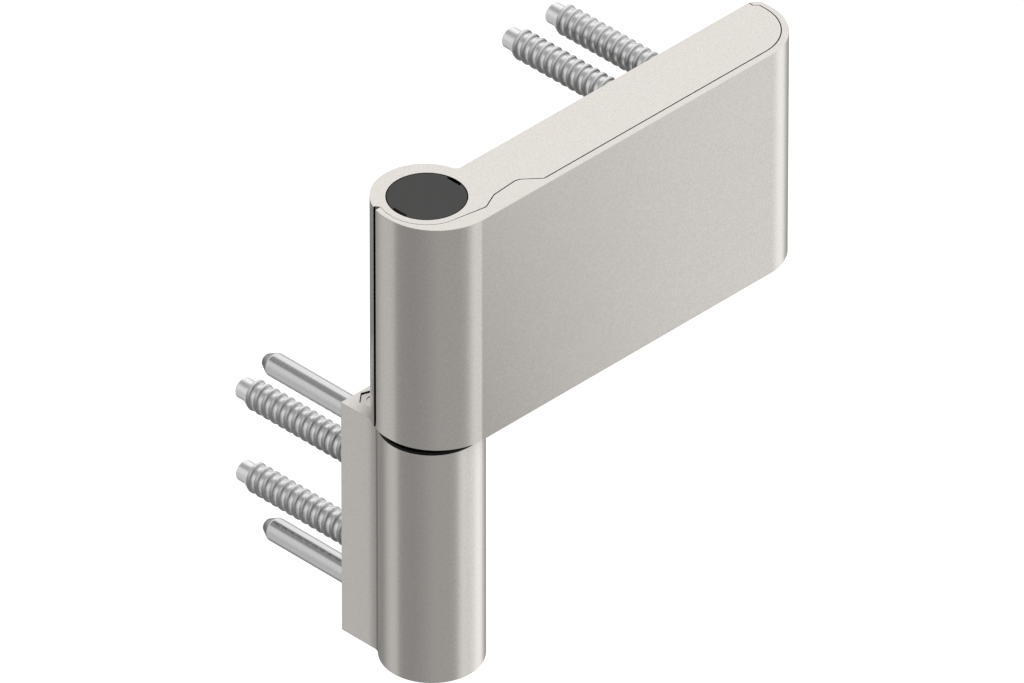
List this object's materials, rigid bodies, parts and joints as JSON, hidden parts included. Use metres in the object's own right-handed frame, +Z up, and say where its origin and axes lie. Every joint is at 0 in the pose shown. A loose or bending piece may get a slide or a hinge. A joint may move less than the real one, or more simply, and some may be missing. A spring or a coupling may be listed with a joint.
{
  "type": "surface-mounted door hinge",
  "caption": "Surface-mounted door hinge: a flat leaf with a knuckle swings on a pin above a round frame part, with wood screws, dowels and height and side adjustment.",
  "frame": {"origin": "centre of the frame part's back face, where it lies on the door frame", "axes": "+X along the leaf when the door is shut, +Y into the door frame, along the screws, +Z up along the hinge pin"},
  "size_m": [0.1078, 0.0671, 0.1121],
  "materials": {
    "satin_nickel": "satin, warm nickel tone",
    "core_metal": "as cast",
    "zinc_steel": "bright zinc plated",
    "pin_steel": "ground",
    "black_plastic": "matt black",
    "cap_plastic": "matt dark grey",
    "bearing_plastic": "natural acetal"
  },
  "bodies": {
    "frame": {"frame_body": "core_metal", "frame_cover": "satin_nickel", "frame_bush": "black_plastic", "frame_end_cap": "cap_plastic", "frame_screw_upper": "zinc_steel", "frame_screw_lower": "zinc_steel", "dowel_upper": "zinc_steel", "dowel_lower": "zinc_steel", "dowel_lock_nut": "zinc_steel", "dowel_lock_screw": "zinc_steel", "pin_key_screw": "zinc_steel"},
    "pin": {"hinge_pin": "pin_steel", "thrust_disc": "bearing_plastic"},
    "height_screw": {"height_screw": "zinc_steel"},
    "bush": {"eccentric_bush": "core_metal", "pin_liner": "bearing_plastic"},
    "leaf": {"leaf_body": "satin_nickel", "leaf_cover": "satin_nickel", "leaf_screw_inner_upper": "zinc_steel", "leaf_screw_inner_lower": "zinc_steel", "leaf_screw_outer_upper": "zinc_steel", "leaf_screw_outer_lower": "zinc_steel", "barrel_cap": "cap_plastic", "bush_lock_screw": "zinc_steel"}
  },
  "joints": [
    {"name": "height_lift", "type": "slide", "parent": "frame", "child": "pin", "axis": [0, 0, 1], "range_m": [-0.0005, 0.0035]},
    {"name": "height_turn", "type": "hinge", "parent": "pin", "child": "height_screw", "pos_m": [0, -0.0185, -0.02], "axis": [0, 0, 1], "range_deg": [-121, 841]},
    {"name": "swing", "type": "hinge", "parent": "pin", "child": "bush", "pos_m": [0, -0.0185, 0.0567], "axis": [0, 0, -1], "range_deg": [0, 180]},
    {"name": "side_adjust", "type": "hinge", "parent": "bush", "child": "leaf", "pos_m": [0, -0.0173, 0.0567], "axis": [0, 0, 1], "range_deg": [-45, 45]}
  ],
  "couplings": [
    {"joint": "height_turn", "follows": "height_lift", "rad_per_m": 4188.8}
  ]
}
